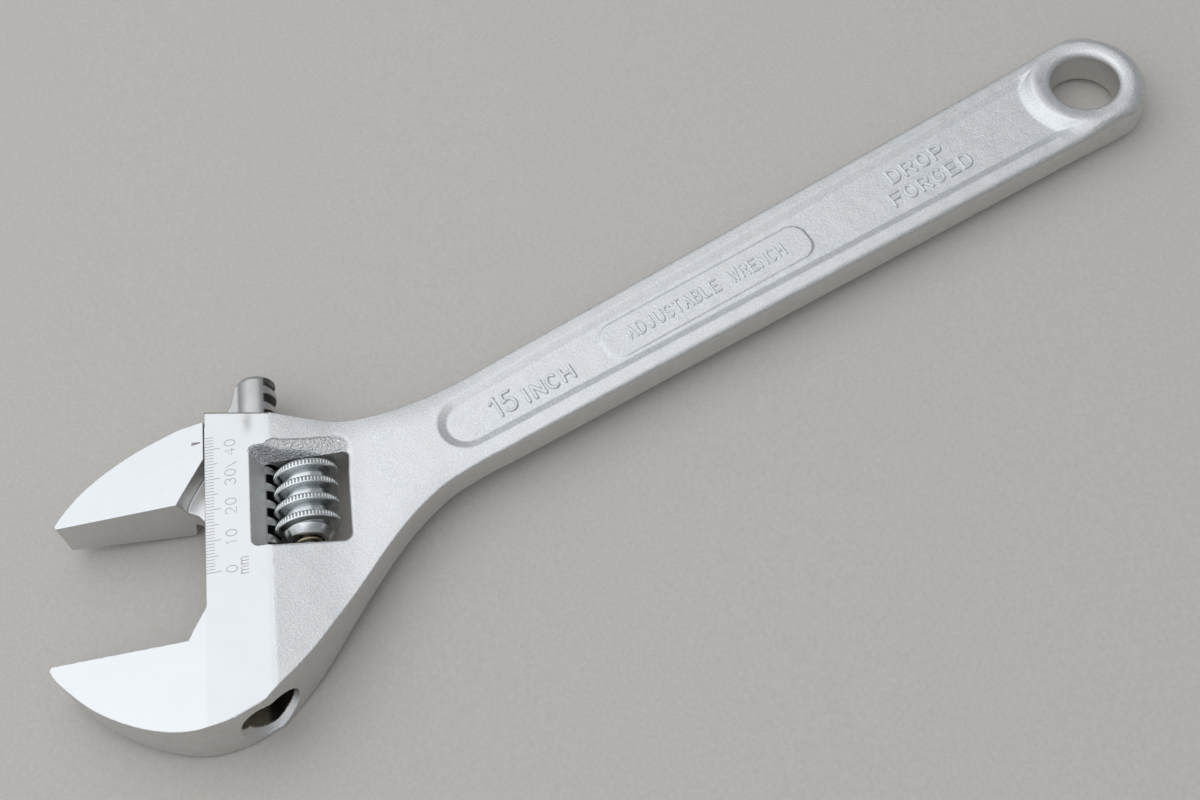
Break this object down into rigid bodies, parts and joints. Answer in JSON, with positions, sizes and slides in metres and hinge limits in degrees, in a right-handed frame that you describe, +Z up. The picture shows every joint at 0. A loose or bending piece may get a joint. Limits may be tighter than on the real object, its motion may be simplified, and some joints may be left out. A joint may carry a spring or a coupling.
{
  "type": "adjustable wrench",
  "caption": "Adjustable wrench with an angled forged head, a movable jaw on a toothed slide rod, a knurled adjusting worm and a handle with a hang hole.",
  "frame": {"origin": "middle of the wrench's footprint, on the surface that its head lies on", "axes": "+X along the handle, from the head to the hang hole; +Y across it, towards the side on which the slide rod stands out; +Z up from the surface, through the thickness"},
  "size_m": [0.3798, 0.1024, 0.022],
  "materials": {
    "forged_body": "satin chrome over a sand-blasted forging, machined on the head",
    "jaw_and_rod": "satin chrome over machined steel",
    "knurled_worm": "bright turned steel with knurled crests",
    "screw_pin": "turned steel",
    "spring_wire": "dull drawn wire"
  },
  "bodies": {
    "body": {"wrench_body": "forged_body", "worm_pin": "screw_pin", "worm_spring": "spring_wire"},
    "worm": {"adjusting_worm": "knurled_worm"},
    "jaw": {"movable_jaw": "jaw_and_rod"}
  },
  "joints": [
    {"name": "worm_spin", "type": "hinge", "parent": "body", "child": "worm", "pos_m": [-0.10631, 0.00063, 0.011], "axis": [0.3875, 0.9219, 0], "range_deg": [-65, 2750]},
    {"name": "jaw_slide", "type": "slide", "parent": "body", "child": "jaw", "axis": [0.3875, 0.9219, 0], "range_m": [-0.0427, 0.001]}
  ],
  "couplings": [
    {"joint": "worm_spin", "follows": "jaw_slide", "rad_per_m": -1122}
  ]
}
